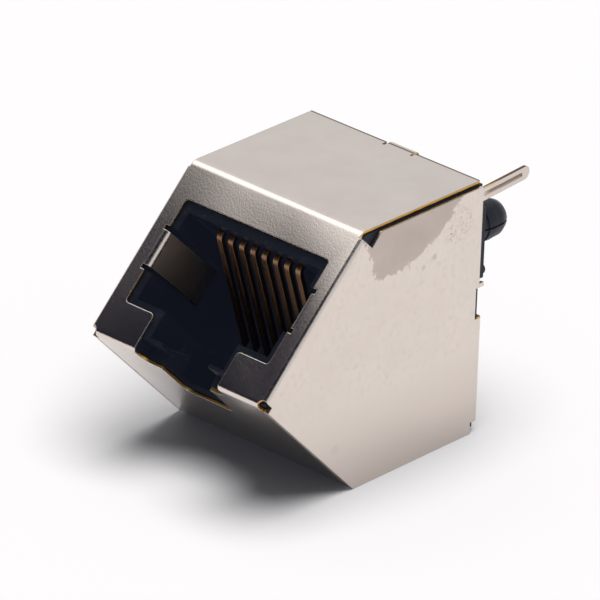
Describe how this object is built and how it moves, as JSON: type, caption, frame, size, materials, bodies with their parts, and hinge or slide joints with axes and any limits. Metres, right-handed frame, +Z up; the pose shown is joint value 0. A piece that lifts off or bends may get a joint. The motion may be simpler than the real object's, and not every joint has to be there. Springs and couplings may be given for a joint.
{
  "type": "rj45 board jack",
  "caption": "Shielded modular jack for a circuit board with a sloping port, formed spring contacts, split board pegs and folded sheet shield.",
  "frame": {"origin": "under the middle of the bounding box, on the plane of the rear wall on which the jack lies", "axes": "+Z up from the rear wall, +X across the port, +Y out of the circuit board side; the port faces -Y and +Z at 45 degrees"},
  "size_m": [0.016, 0.026, 0.0187],
  "materials": {
    "shield_nickel": "bright nickel plate on brass sheet, raw brass at the sheared edges",
    "housing_black": "moulded black polyester",
    "insert_black": "moulded black polyester",
    "contact_gold": "gold plate on phosphor bronze"
  },
  "bodies": {
    "root": {"shield": "shield_nickel", "housing": "housing_black", "contact_insert": "insert_black", "contact_1": "contact_gold", "contact_2": "contact_gold", "contact_3": "contact_gold", "contact_4": "contact_gold", "contact_5": "contact_gold", "contact_6": "contact_gold", "contact_7": "contact_gold", "contact_8": "contact_gold"}
  },
  "joints": []
}
